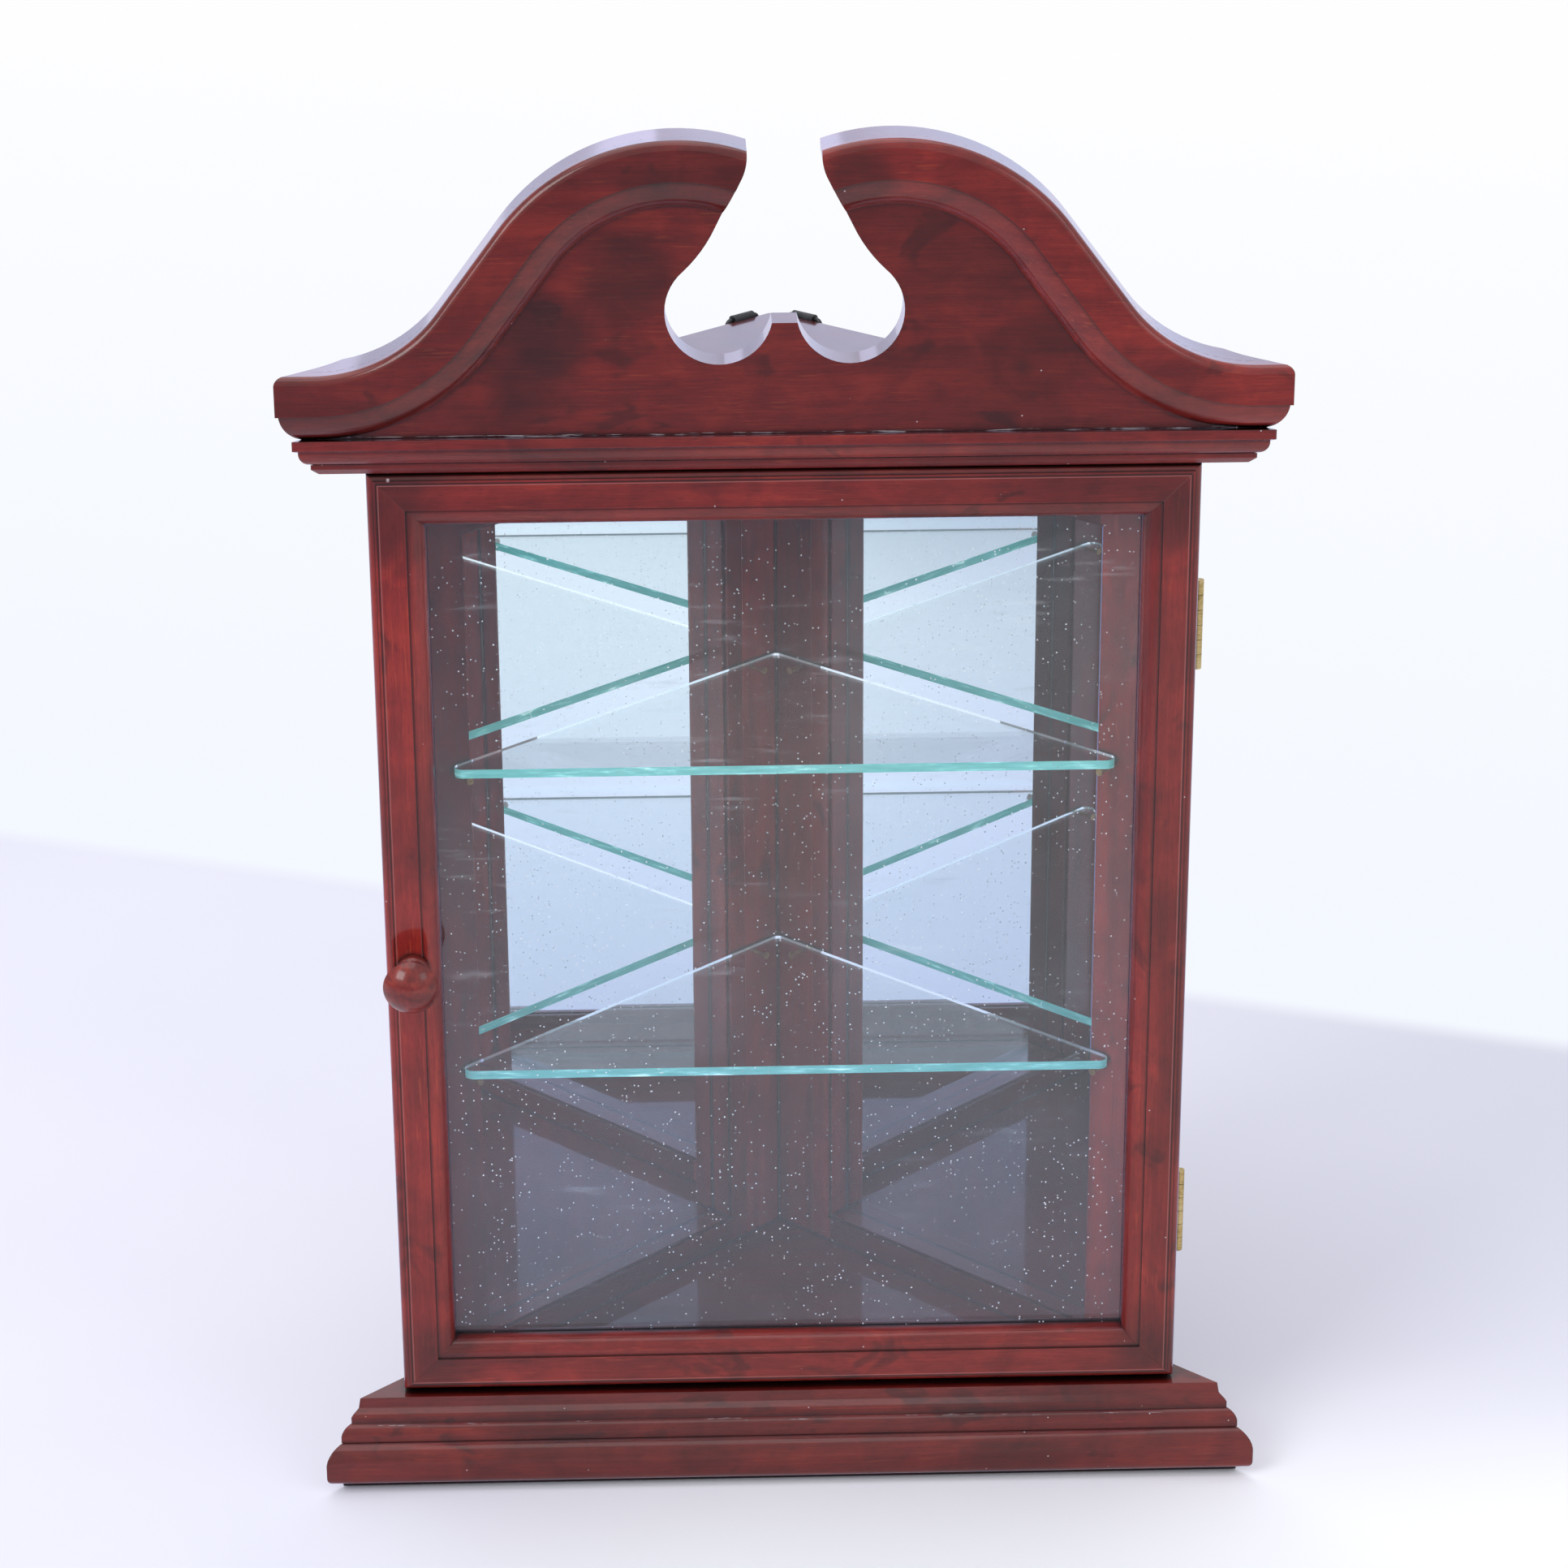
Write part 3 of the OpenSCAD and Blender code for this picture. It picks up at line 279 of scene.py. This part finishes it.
def mahogany(name, seed, grain, tone, edge=0.0008, hollow=0.0028, shine=0.10, sheen=(0.58, 0.86, 0.58),
             smudges=(), painted_quirks=(), dust=(), marks=()):
    """Stained and varnished wood with pores, streaks and clouds along the grain. tone scales its colour,
    partly as painted light and shade. edge is the radius of its worn edges, and hollow the reach of the
    painted shade in its corners. smudges lists (place, radius), the painted quirks (axis, place, way
    inward), dust (height, half width, share) and marks (place, radius, colour)."""
    t = Tree(name)
    place = t.at.outputs["Object"]
    turned = t.add("ShaderNodeMapping", {"Vector": place, "Rotation": GRAIN[grain]}).outputs[0]
    start = t.vector("ADD", turned, (0.37 * seed, 0.53 * seed, 0.71 * seed))
    wander = t.vector("SUBTRACT", t.noise(start, (4, 12, 12), 2, colour=True), (0.5, 0.5, 0.5))
    along = t.vector("ADD", start, t.vector("MULTIPLY", wander, (0.0, 0.010, 0.010)))
    fine = t.noise(along, (45, 1100, 1100), 4, 0.65)
    pores = t.noise(along, (220, 3000, 3000), 2, 0.5)
    cloud = t.noise(start, (11, 20, 20), 4, 0.55, 0.3)
    stain = t.noise(start, (26, 44, 44), 3, 0.6, 0.5)
    close = t.add("ShaderNodeAmbientOcclusion", {"Distance": hollow}, samples=6).outputs["AO"]
    eased = t.add("ShaderNodeBevel", {"Radius": edge}, samples=4).outputs[0]

    colour = stained(t, start, along, cloud, fine, tone)
    colour = t.mix(t.fit(stain, 0.40, 0.31, 0.0, 0.50), colour, srgb("#220a0b"))
    colour = smudged(t, colour, place, cloud, smudges)
    colour = t.mix(t.math("MULTIPLY", t.fit(pores, 0.58, 0.70), 0.30), colour, srgb("#1d0807"))
    # Painted shade: darker in corners and hollows, by ambient occlusion
    colour = t.mix(t.fit(close, 0.92, 0.50, 0.0, 0.95), colour, srgb("#0d0303"))
    colour = worn(t, colour, start, eased, close)
    flecked = t.math("MULTIPLY", specks(t, place, 110, 0.048, 0.4), 0.85)
    colour = t.mix(flecked, colour, srgb("#c0b6ba"))
    colour = painted_quirk_lines(t, colour, place, painted_quirks)
    colour = dusted(t, colour, place, dust)
    colour = marked(t, colour, place, stain, marks)

    smear = t.noise(start, (26, 26, 26), 3, 0.6)
    relief = t.math("SUBTRACT", t.math("MULTIPLY", fine, 0.35), t.fit(pores, 0.56, 0.70))
    relief = t.math("ADD", relief, smear)
    bump = t.add("ShaderNodeBump", {"Strength": 0.2, "Distance": 0.0003, "Height": relief, "Normal": eased})
    surface = t.add("ShaderNodeBsdfPrincipled", {
        "Base Color": colour, "Roughness": t.fit(smear, 0.3, 0.7, 0.34, 0.46), "Normal": bump.outputs[0],
        "Specular IOR Level": 0.18, "Coat Weight": 0.72, "Coat IOR": 1.48, "Coat Normal": eased,
        "Coat Roughness": shine,
    })
    return t.finish(varnish(t, surface.outputs[0], shine, sheen))


def paint(name, material):
    """Give a node its one material."""
    data = nodes[name].data
    data.materials.clear()
    data.materials.append(material)


def door_member(grain, tone, painted_quirk, **more):
    """The look of a stile or rail of the door, with a painted quirk near its outer edge: a dark line of
    painted shade and a lit line of painted highlight.
    """
    look = {"grain": grain, "tone": tone, "edge": 0.0004, "smudges": DOOR_SMUDGES, "painted_quirks": [painted_quirk]}
    return {**look, **more}


# The polish of the floor board and of the rails that meet it
POLISH = (0.50, 0.80, 0.64)
# Each member's tone is partly painted light and shade: members are made brighter or darker to match the
# light that falls on them
WOOD = {
    "base_moulding": {
        "grain": "across", "tone": 0.95, "hollow": 0.0045, "dust": [(BASE_TOP - 0.011, 0.0004, 0.12)],
        "marks": [(CHIP, 0.0022, "#d9cfd0")],
    },
    "left_base_rail": {"grain": "left wall", "tone": 0.9},
    "right_base_rail": {"grain": "right wall", "tone": 0.9},
    "floor_board": {"grain": "across", "tone": 0.62, "shine": 0.05, "sheen": POLISH},
    "left_front_stile": {"grain": "upright", "tone": 0.8},
    "right_front_stile": {"grain": "upright", "tone": 1.9},
    "left_back_stile": {"grain": "upright", "tone": 1.3},
    "right_back_stile": {"grain": "upright", "tone": 1.3},
    "left_top_rail": {"grain": "left wall", "tone": 0.8},
    "right_top_rail": {"grain": "right wall", "tone": 0.8},
    "left_bottom_rail": {"grain": "left wall", "tone": 0.8, "shine": 0.07, "sheen": POLISH},
    "right_bottom_rail": {"grain": "right wall", "tone": 0.8, "shine": 0.07, "sheen": POLISH},
    "left_corner_board": {"grain": "upright", "tone": 1.9},
    "right_corner_board": {"grain": "upright", "tone": 1.2},
    "top_board": {"grain": "across", "tone": 0.9, "edge": 0.0003},
    "cornice": {"grain": "across", "tone": 1.3, "hollow": 0.005},
    "pediment_board": {
        "grain": "across", "tone": 1.0, "edge": 0.0003, "dust": [(PEDIMENT_FOOT + 0.0004, 0.0004, 0.42)],
        "smudges": [
            ((-0.098, PEDIMENT_FACE, 0.535), 0.016), ((0.098, PEDIMENT_FACE, 0.520), 0.012),
            ((-0.110, PEDIMENT_FACE, 0.510), 0.024), ((-0.065, PEDIMENT_FACE, 0.560), 0.018),
        ],
    },
    "left_scroll": {
        "grain": "across", "tone": 0.98, "edge": 0.0003, "smudges": [((-0.050, -0.098, 0.598), 0.016)],
    },
    "right_scroll": {
        "grain": "across", "tone": 1.35, "edge": 0.0003, "smudges": [((0.030, -0.098, 0.600), 0.014)],
    },
    "door_left_stile": door_member("upright", 1.75, (0, DOOR_SIDE - PAINTED_QUIRK_INSET, -1)),
    "door_right_stile": door_member("upright", 1.5, (0, DOOR_SIDE - PAINTED_QUIRK_INSET, -1)),
    "door_top_rail": door_member(
        "across", 1.45, (2, DOOR_TOP - PAINTED_QUIRK_INSET, -1), marks=[(NAIL, 0.0011, "#c8aeb2")],
    ),
    "door_bottom_rail": door_member("across", 1.45, (2, DOOR_FOOT + PAINTED_QUIRK_UP, 1)),
    "left_glass_bead": {"grain": "upright", "tone": 0.9},
    "right_glass_bead": {"grain": "upright", "tone": 0.9},
    "top_glass_bead": {"grain": "across", "tone": 0.9},
    "bottom_glass_bead": {"grain": "across", "tone": 0.9},
}
for number, (piece, look) in enumerate(WOOD.items()):
    paint(piece, mahogany("mahogany_" + piece, number + 1.0, **look))


def turned_wood(name):
    """The knob: redder and smoother than the members."""
    t = Tree(name)
    place = t.at.outputs["Object"]
    streak = t.noise(place, (260, 40, 260), 4, 0.6)
    cloud = t.noise(place, (90, 90, 90), 3, 0.6)
    figure = t.fit(streak, 0.34, 0.66, smooth=False)
    colour = t.ramp(figure, [(0.0, "#5c1513"), (0.5, "#731d18"), (1.0, "#8a2a1e")])
    colour = t.mix(t.fit(cloud, 0.40, 0.62, 0.35, 0.0), colour, srgb("#3a100d"))
    close = t.add("ShaderNodeAmbientOcclusion", {"Distance": 0.008}, samples=6).outputs["AO"]
    # Painted shade: darker in the hollows of the knob, by ambient occlusion
    colour = t.mix(t.fit(close, 0.75, 0.2, 0.0, 0.75), colour, srgb("#1a0605"))
    rough = t.fit(cloud, 0.3, 0.7, 0.26, 0.36)
    bump = t.add("ShaderNodeBump", {"Strength": 0.08, "Distance": 0.0002, "Height": cloud})
    surface = t.add("ShaderNodeBsdfPrincipled", {
        "Base Color": colour, "Roughness": rough, "Normal": bump.outputs[0], "Specular IOR Level": 0.2,
        "Coat Weight": 0.7, "Coat Roughness": 0.16,
    })
    return t.finish(surface.outputs[0])


paint("knob", turned_wood("mahogany_knob"))

# ---------------------------------------------------------------- glass and mirrors


def past_lamps(t, shader):
    """Glass that lets lamps light what is behind it."""
    path = t.add("ShaderNodeLightPath")
    plain = t.math("MAXIMUM", path.outputs["Is Shadow Ray"], path.outputs["Is Diffuse Ray"])
    clear = t.add("ShaderNodeBsdfTransparent", {0: (0.90, 0.94, 0.95, 1.0)})
    return t.add("ShaderNodeMixShader", {0: plain, 1: shader, 2: clear.outputs[0]}).outputs[0]


def door_pane():
    """Clear glass with dust, a thin film that thickens toward the foot, and streaks from wiping."""
    t = Tree("door_glass")
    place = t.at.outputs["Object"]
    low = t.fit(t.split(place)[2], 0.36, 0.10)
    dust = t.math("MAXIMUM", specks(t, place, 560, 0.25, 0.13), specks(t, place, 250, 0.13, 0.12))
    patchy = t.fit(t.noise(place, (14, 14, 14), 3, 0.6), 0.38, 0.58, 0.20, 1.0)
    dust = t.math("MULTIPLY", t.math("MULTIPLY", dust, patchy), t.fit(low, 0.0, 1.0, 0.55, 0.95, False))
    streak = t.noise(place, (9, 9, 14), 4, 0.6)
    strokes = t.fit(t.noise(place, (26, 26, 300), 4, 0.65), 0.56, 0.74)
    wiped = t.math("MULTIPLY", strokes, t.fit(streak, 0.45, 0.62))
    film = t.math("ADD", t.fit(streak, 0.30, 0.75, 0.0, 0.010), t.math("MULTIPLY", low, 0.022))
    film = t.math("ADD", film, t.math("MULTIPLY", wiped, 0.10))
    haze = t.math("ADD", dust, film, clamp=True)
    colour = t.mix(dust, t.mix(low, srgb("#f9fdff"), srgb("#e6edff")), srgb("#eef0f6"))
    surface = t.add("ShaderNodeBsdfPrincipled", {
        "Base Color": colour, "Transmission Weight": t.math("SUBTRACT", 1.0, haze),
        "Roughness": t.math("MULTIPLY", dust, 0.5), "IOR": 1.5,
    })
    return t.finish(past_lamps(t, surface.outputs[0]))


def shelf_pane():
    """Clear faces, and rims with a painted glow, by emission, that stands in for the green light running
    along inside the glass.
    """
    t = Tree("shelf_glass")
    place = t.at.outputs["Object"]
    flat = t.math("ABSOLUTE", t.split(t.at.outputs["Normal"])[2])
    inner = t.add("ShaderNodeNewGeometry").outputs["Backfacing"]
    painted_glow = t.fit(flat, 0.7, 0.3)
    rim = t.math("MULTIPLY", painted_glow, t.math("SUBTRACT", 1.0, inner))
    # The rim's green varies along the glass, up to painted glints near white at the top of the ramp
    rim_green_and_glints = t.noise(place, (60, 60, 500), 3, 0.6)
    greens = [(0.0, "#4c9d99"), (0.62, "#62aeab"), (0.90, "#86cbc7"), (1.0, "#c9efec")]
    edge = t.ramp(t.fit(rim_green_and_glints, 0.3, 0.7, smooth=False), greens)
    dust = t.math("MULTIPLY", specks(t, place, 200, 0.06, 0.5), t.math("SUBTRACT", 1.0, rim))
    colour = t.mix(rim, t.mix(dust, srgb("#fbfefd"), srgb("#d8d8da")), edge)
    solid = t.math("MAXIMUM", t.math("MULTIPLY", rim, 0.92), t.math("MULTIPLY", dust, 0.7))
    clear = t.math("SUBTRACT", 1.0, solid)
    rough = t.math("ADD", t.math("MULTIPLY", rim, 0.18), t.math("MULTIPLY", dust, 0.5))
    # Painted glow: the rims emit light, in their green on the outer faces and grey blue on the inner faces
    surface = t.add("ShaderNodeBsdfPrincipled", {
        "Base Color": colour, "Transmission Weight": clear, "Roughness": rough, "IOR": 1.5,
        "Emission Color": t.mix(inner, edge, srgb("#8fa3aa")),
        "Emission Strength": t.math("MULTIPLY", painted_glow, 0.48),
    })
    return t.finish(past_lamps(t, surface.outputs[0]))


def silvered(name, tint):
    """A mirror with a little dust and a faint film."""
    t = Tree(name)
    place = t.at.outputs["Object"]
    film = t.noise(place, (20, 20, 30), 4, 0.6)
    dust = specks(t, place, 240, 0.07, 0.4)
    colour = t.mix(t.math("MULTIPLY", dust, 0.6), srgb(tint), srgb("#8f9196"))
    rough = t.math("ADD", t.fit(film, 0.5, 0.8, 0.0, 0.02), t.math("MULTIPLY", dust, 0.4))
    surface = t.add("ShaderNodeBsdfPrincipled", {"Base Color": colour, "Metallic": 1.0, "Roughness": rough})
    return t.finish(surface.outputs[0])


def hardboard():
    """The brown backing boards, with short fibres and darker clouds."""
    t = Tree("hardboard")
    place = t.at.outputs["Object"]
    fibre = t.noise(place, (900, 900, 900), 4, 0.7)
    cloud = t.noise(place, (12, 12, 12), 3, 0.6)
    figure = t.fit(fibre, 0.3, 0.7, smooth=False)
    colour = t.ramp(figure, [(0.0, "#4a3020"), (0.5, "#6b4830"), (1.0, "#8a6444")])
    colour = t.mix(t.fit(cloud, 0.35, 0.65, 0.0, 0.35), colour, srgb("#3d281b"))
    bump = t.add("ShaderNodeBump", {"Strength": 0.3, "Distance": 0.0003, "Height": fibre})
    surface = t.add("ShaderNodeBsdfPrincipled", {
        "Base Color": colour, "Roughness": t.fit(fibre, 0.3, 0.7, 0.5, 0.7), "Normal": bump.outputs[0],
    })
    return t.finish(surface.outputs[0])


paint("door_glass", door_pane())
glass = shelf_pane()
paint("upper_shelf", glass)
paint("lower_shelf", glass)
# The right mirror's greyer tint is painted shade: it makes that mirror darker than the left one
paint("left_mirror", silvered("left_mirror", "#feffff"))
paint("right_mirror", silvered("right_mirror", "#e9f2f5"))
board = hardboard()
paint("left_backing", board)
paint("right_backing", board)

# ---------------------------------------------------------------- metal


def metal(name, colours, rough, shine=1.0, painted_shade_colour="#1a140c", amount=0.4):
    """Sheet or wire metal with fine wear and stains, and painted shade in its corners."""
    t = Tree(name)
    place = t.at.outputs["Object"]
    stain = t.noise(place, (160, 160, 160), 4, 0.65)
    scratch = t.noise(place, (300, 300, 2500), 3, 0.6)
    both = t.math("ADD", t.math("MULTIPLY", stain, 0.6), t.math("MULTIPLY", scratch, 0.4))
    tone = t.fit(both, 0.36, 0.64, smooth=False)
    colour = t.ramp(tone, [(i / (len(colours) - 1), c) for i, c in enumerate(colours)])
    close = t.add("ShaderNodeAmbientOcclusion", {"Distance": 0.003}, samples=6).outputs["AO"]
    # Painted shade: darker in corners and hollows, by ambient occlusion
    colour = t.mix(t.fit(close, 0.8, 0.3, 0.0, amount), colour, srgb(painted_shade_colour))
    eased = t.add("ShaderNodeBevel", {"Radius": 0.0003}, samples=4).outputs[0]
    bump = t.add("ShaderNodeBump", {"Strength": 0.2, "Distance": 0.0001, "Height": tone, "Normal": eased})
    surface = t.add("ShaderNodeBsdfPrincipled", {
        "Base Color": colour, "Metallic": shine, "Normal": bump.outputs[0],
        "Roughness": t.fit(stain, 0.3, 0.7, rough - 0.08, rough + 0.12),
    })
    return t.finish(surface.outputs[0])


brass = metal("brass", ["#8a7446", "#b8a06c", "#cdb98a"], 0.36)
pin_brass = metal("pin_brass", ["#7d6442", "#a68a5c", "#bfa77a"], 0.40)
black = metal("black_steel", ["#121214", "#1c1c1f", "#2b2b2f"], 0.36, 0.0)
zinc = metal("steel", ["#7c7f84", "#a3a6ab", "#c3c6ca"], 0.32)
ferrite = metal("magnet", ["#2a2a2d", "#3a3a3e", "#4c4c50"], 0.45, 0.6)
METAL = {
    "upper_case_leaf": brass, "lower_case_leaf": brass, "upper_door_leaf": brass, "lower_door_leaf": brass,
    "hinge_pins": brass, "case_leaf_screws": brass, "door_leaf_screws": brass, "shelf_pins": pin_brass,
    "knob_screw": zinc, "strike_disc": zinc, "strike_screw": zinc, "magnet": ferrite,
    "left_hanger_strap": black, "right_hanger_strap": black, "left_hanger_ring": black,
    "right_hanger_ring": black, "hanger_screws": black,
}
for piece, material in METAL.items():
    paint(piece, material)

missed = set(nodes) - set(WOOD) - set(METAL) - {
    "knob", "door_glass", "upper_shelf", "lower_shelf", "left_mirror", "right_mirror", "left_backing",
    "right_backing",
}
if missed:
    raise SystemExit("no material for " + ", ".join(sorted(missed)))

# ---------------------------------------------------------------- floor and light

# Height of the floor, just below the case, and half of its width
FLOOR_LOW = -0.0003
FLOOR_HALF = 7.0

# A point of the line where the backdrop starts, and the way across it
BACK_POINT = (0.0, 0.533, 0.0)
BACK_WAY = (0.3623, 0.9320, 0.0)


def floor_paper():
    """Pale paper that turns into the white backdrop. A painted pool of light makes it brighter just in front
    of the case, and painted shade makes it darker further toward the camera, which is what the door's glass
    reflects."""
    t = Tree("floor_paper")
    place = t.at.outputs["Object"]
    x, y, _ = t.split(place)
    soft = t.noise(place, (1.6, 1.6, 1.6), 3, 0.5)
    colour = t.ramp(t.fit(soft, 0.3, 0.7), [(0.0, "#e0e0ec"), (1.0, "#e7e6f1")])
    # Painted pool of light: paler just in front of the case
    front = t.math("MULTIPLY", t.fit(y, 0.03, -0.18), t.fit(x, -0.25, 0.0))
    colour = t.mix(front, colour, srgb("#fbfbff"))
    # Painted shade: darker further toward the camera and to the left
    near = t.math("ADD", t.math("MULTIPLY", y, -1.0), t.math("MULTIPLY", x, -0.6))
    colour = t.mix(t.fit(near, 0.95, 1.6, 0.0, 0.8), colour, srgb("#858fa4"))
    crease = t.noise(place, (30, 30, 30), 4, 0.6, 1.5)
    bump = t.add("ShaderNodeBump", {"Strength": 0.06, "Distance": 0.001, "Height": crease})
    surface = t.add("ShaderNodeBsdfPrincipled", {
        "Base Color": colour, "Roughness": 0.7, "Specular IOR Level": 0.2, "Normal": bump.outputs[0],
    })
    far = t.vector("DOT_PRODUCT", t.vector("SUBTRACT", place, BACK_POINT), BACK_WAY)
    white = t.mix(t.fit(far, 0.0, 2.4, smooth=False), srgb("#f4f8ff"), srgb("#fefeff"))
    backdrop = t.add("ShaderNodeEmission", {"Color": white, "Strength": 1.0})
    path = t.add("ShaderNodeLightPath").outputs
    seen = t.math("MAXIMUM", path["Is Glossy Ray"], path["Is Transmission Ray"])
    seen = t.math("MAXIMUM", path["Is Camera Ray"], seen)
    lit = t.math("MULTIPLY", t.fit(far, -0.015, 0.015), seen)
    shown = t.add("ShaderNodeMixShader", {0: lit, 1: surface.outputs[0], 2: backdrop.outputs[0]})
    return t.finish(shown.outputs[0])


def floor():
    mesh = bpy.data.meshes.new("floor")
    corners = [(x * FLOOR_HALF, y * FLOOR_HALF, FLOOR_LOW) for x, y in ((-1, -1), (1, -1), (1, 1), (-1, 1))]
    mesh.from_pydata(corners, [], [(0, 1, 2, 3)])
    mesh.materials.append(floor_paper())
    made = bpy.data.objects.new("floor", mesh)
    bpy.context.scene.collection.objects.link(made)


floor()

# Light of the surroundings, and what polished faces see: its colour, and its strength from left to right
AROUND = (0.93, 0.95, 1.0, 1.0)
AROUND_STRENGTH = 0.70
SHOWN = (0.90, 0.94, 1.0, 1.0)
SHOWN_FADE = {"From Min": -0.07, "From Max": 0.05, "To Min": 0.75, "To Max": 0.97}


def world():
    """Even light, shown to polished faces as a studio that is darker on the left."""
    made = bpy.data.worlds.new("studio")
    bpy.context.scene.world = made
    made.use_nodes = True
    tree = made.node_tree
    tree.nodes.clear()
    path = tree.nodes.new("ShaderNodeLightPath")
    seen = tree.nodes.new("ShaderNodeMath")
    seen.operation = "MAXIMUM"
    tree.links.new(path.outputs["Is Camera Ray"], seen.inputs[0])
    tree.links.new(path.outputs["Is Glossy Ray"], seen.inputs[1])
    light = tree.nodes.new("ShaderNodeBackground")
    light.inputs["Color"].default_value = AROUND
    light.inputs["Strength"].default_value = AROUND_STRENGTH
    way = tree.nodes.new("ShaderNodeTexCoord")
    split = tree.nodes.new("ShaderNodeSeparateXYZ")
    tree.links.new(way.outputs["Generated"], split.inputs[0])
    fade = tree.nodes.new("ShaderNodeMapRange")
    tree.links.new(split.outputs["X"], fade.inputs["Value"])
    for key, value in SHOWN_FADE.items():
        fade.inputs[key].default_value = value
    shown = tree.nodes.new("ShaderNodeBackground")
    shown.inputs["Color"].default_value = SHOWN
    tree.links.new(fade.outputs[0], shown.inputs["Strength"])
    both = tree.nodes.new("ShaderNodeMixShader")
    tree.links.new(seen.outputs[0], both.inputs[0])
    tree.links.new(light.outputs[0], both.inputs[1])
    tree.links.new(shown.outputs[0], both.inputs[2])
    out = tree.nodes.new("ShaderNodeOutputWorld")
    tree.links.new(both.outputs[0], out.inputs[0])


def softbox(name, place, aim, size, power, colour=(1.0, 1.0, 1.0)):
    """A lamp of some width and height, turned from its place toward its aim."""
    data = bpy.data.lights.new(name, "AREA")
    data.shape = "RECTANGLE"
    data.size, data.size_y = size
    data.energy = power
    data.color = colour
    lamp = bpy.data.objects.new(name, data)
    lamp.location = place
    lamp.rotation_euler = (Vector(aim) - Vector(place)).to_track_quat("-Z", "Y").to_euler()
    lamp.visible_camera = False
    bpy.context.scene.collection.objects.link(lamp)


world()
softbox("overhead", (-0.3, 0.1, 2.4), (0.0, 0.0, 0.2), (2.4, 1.8), 19.0, (0.98, 0.98, 1.0))
softbox("front_left", (-1.6, -1.6, 1.7), (0.0, 0.0, 0.3), (1.2, 1.2), 26.0)
softbox("front_right", (1.5, -1.5, 1.4), (0.0, 0.0, 0.3), (0.9, 0.9), 4.0)
softbox("behind", (-1.2, 2.4, 1.9), (0.0, 0.0, 0.4), (2.6, 1.8), 8.0, (0.90, 0.90, 1.0))

bpy.context.scene.view_settings.view_transform = "Standard"
